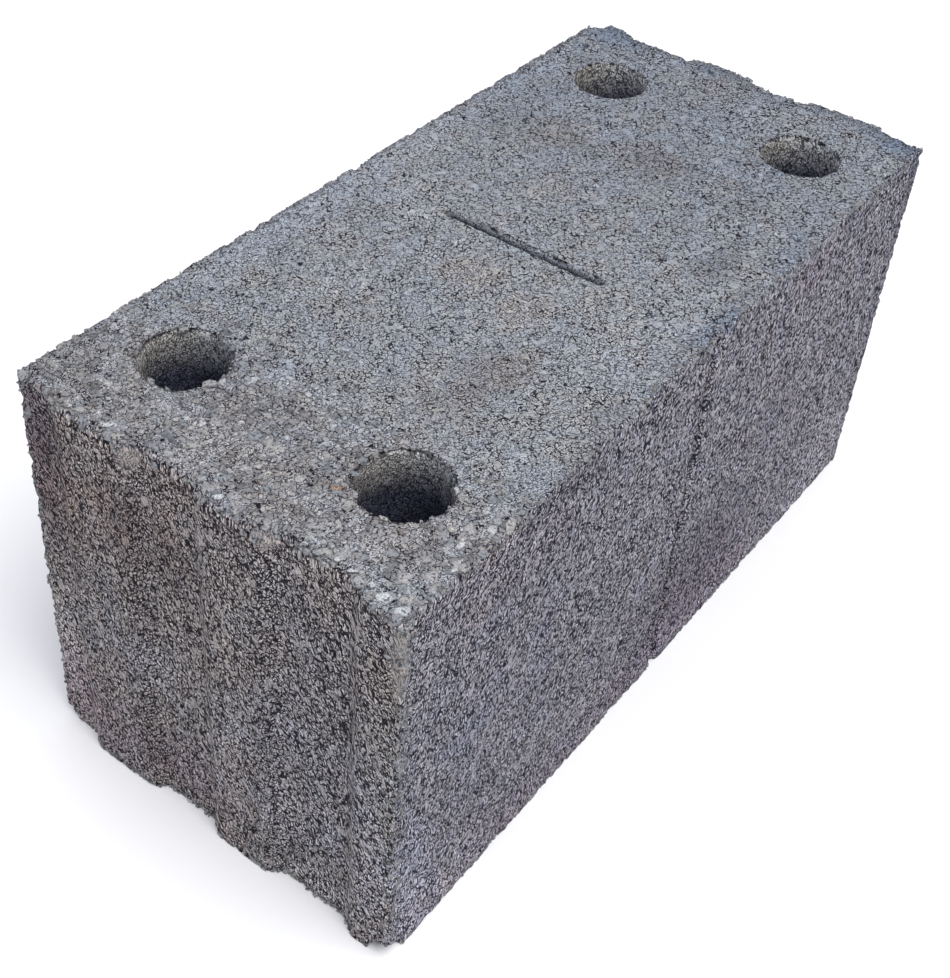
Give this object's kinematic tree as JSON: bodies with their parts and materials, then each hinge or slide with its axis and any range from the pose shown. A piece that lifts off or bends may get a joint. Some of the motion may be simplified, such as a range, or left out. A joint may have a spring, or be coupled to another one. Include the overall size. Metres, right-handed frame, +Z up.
{
  "type": "concrete block",
  "caption": "Solid concrete masonry block with tongue-and-groove ends, round grip holes, a narrow middle slot and a splitting groove down each long side",
  "frame": {"origin": "Centre of the bed face that the block stands on", "axes": "X along the wall, from one tongue-and-groove end to the other; Y through the wall, between the two long sides; Z up"},
  "size_m": [0.503, 0.238, 0.249],
  "materials": {
    "concrete": "matte"
  },
  "bodies": {
    "root": {"concrete_block": "concrete"}
  },
  "joints": []
}
